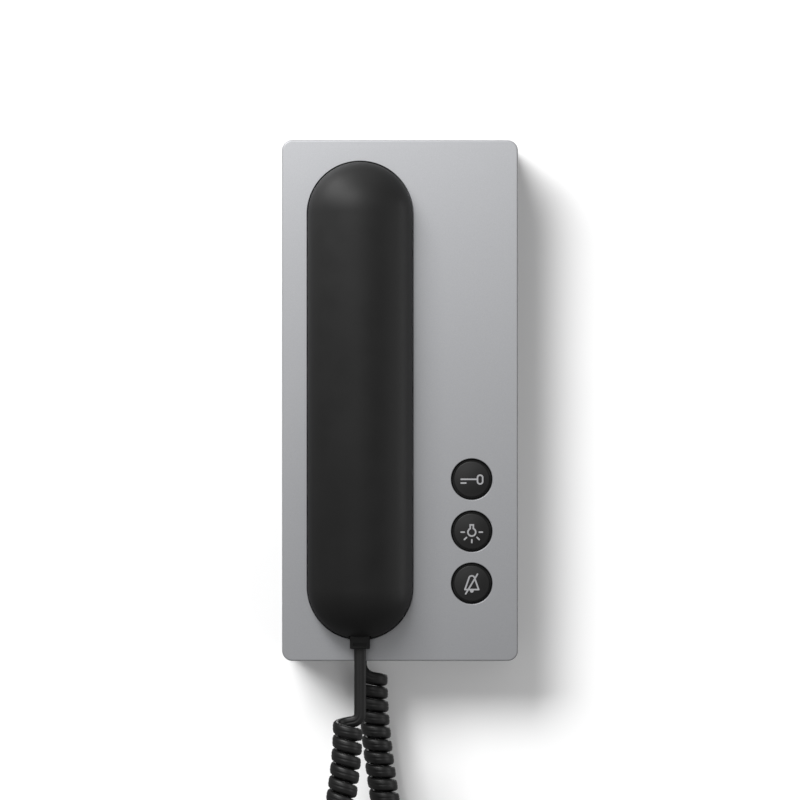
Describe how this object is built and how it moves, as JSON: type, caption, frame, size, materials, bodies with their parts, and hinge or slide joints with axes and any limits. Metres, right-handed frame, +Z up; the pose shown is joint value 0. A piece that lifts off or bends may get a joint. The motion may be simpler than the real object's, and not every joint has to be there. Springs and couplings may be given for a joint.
{
  "type": "audio intercom handset",
  "caption": "Wall-mounted audio intercom: flat silver housing with a lift-off half-round handset on a curly cord, and round push buttons for door, light and mute.",
  "frame": {"origin": "middle of the wall plate's back face, on the wall", "axes": "+Y into the wall, -Y towards the user, +X to the user's right, +Z up"},
  "size_m": [0.091, 0.0456, 0.3432],
  "materials": {
    "silver_shell": "satin silver lacquer on moulded plastic",
    "handset_black": "satin black moulded plastic, fine texture",
    "button_black": "satin black moulded plastic",
    "sign_white": "light grey inlay",
    "plug_black": "black moulded plug body",
    "cord_black": "black flexible sheath with ridges along it",
    "base_plastic": "dark grey moulded plastic",
    "circuit_board": "green solder mask",
    "component_black": "black moulded components",
    "terminal_grey": "light grey terminal housing",
    "plunger_plastic": "pale slippery plastic",
    "silicone": "translucent grey silicone",
    "foam": "dark foam ring",
    "boot_rubber": "soft black rubber",
    "wire_sheath": "thin two-core wire sheath",
    "zinc_steel": "zinc plated steel",
    "weight_steel": "plain steel block",
    "nickel_magnet": "nickel plated magnet",
    "speaker_metal": "pressed metal capsule",
    "contact_gold": "gold plated contact blades"
  },
  "bodies": {
    "base": {"wall_plate": "base_plastic", "housing": "silver_shell", "main_board": "circuit_board", "board_screws": "zinc_steel", "board_components": "component_black", "terminal_block": "terminal_grey", "terminal_screws": "zinc_steel", "call_sounder": "component_black", "hook_switch": "component_black", "hook_spring": "zinc_steel", "cradle_magnet": "nickel_magnet", "door_dome": "silicone", "light_dome": "silicone", "mute_dome": "silicone", "base_jack": "component_black", "base_plug": "plug_black", "base_plug_blades": "contact_gold", "cord_coil": "cord_black"},
    "handset": {"handset_front": "handset_black", "handset_rear": "handset_black", "handset_screws": "zinc_steel", "keeper_weight": "weight_steel", "ear_speaker": "speaker_metal", "ear_gasket": "foam", "microphone": "speaker_metal", "mic_boot": "boot_rubber", "handset_jack": "component_black", "handset_plug": "plug_black", "handset_plug_blades": "contact_gold", "speaker_wire": "wire_sheath", "mic_wire": "wire_sheath", "cord_lead": "cord_black"},
    "hook": {"hook_plunger": "plunger_plastic"},
    "door_key": {"door_button": "button_black", "door_sign": "sign_white"},
    "light_key": {"light_button": "button_black", "light_sign": "sign_white"},
    "mute_key": {"mute_button": "button_black", "mute_sign": "sign_white"}
  },
  "joints": [
    {"name": "handset_lift", "type": "slide", "parent": "base", "child": "handset", "axis": [0, -1, 0], "range_m": [0, 0.032]},
    {"name": "hook_slide", "type": "slide", "parent": "base", "child": "hook", "axis": [0, -1, 0], "range_m": [0, 0.004], "deforming": ["hook_spring"]},
    {"name": "door_press", "type": "slide", "parent": "base", "child": "door_key", "axis": [0, 1, 0], "range_m": [0, 0.0012], "stiffness_N_per_m": 700, "deforming": ["door_dome"]},
    {"name": "light_press", "type": "slide", "parent": "base", "child": "light_key", "axis": [0, 1, 0], "range_m": [0, 0.0012], "stiffness_N_per_m": 700, "deforming": ["light_dome"]},
    {"name": "mute_press", "type": "slide", "parent": "base", "child": "mute_key", "axis": [0, 1, 0], "range_m": [0, 0.0012], "stiffness_N_per_m": 700, "deforming": ["mute_dome"]}
  ],
  "couplings": [
    {"joint": "hook_slide", "follows": "handset_lift", "ratio": 0.125}
  ]
}
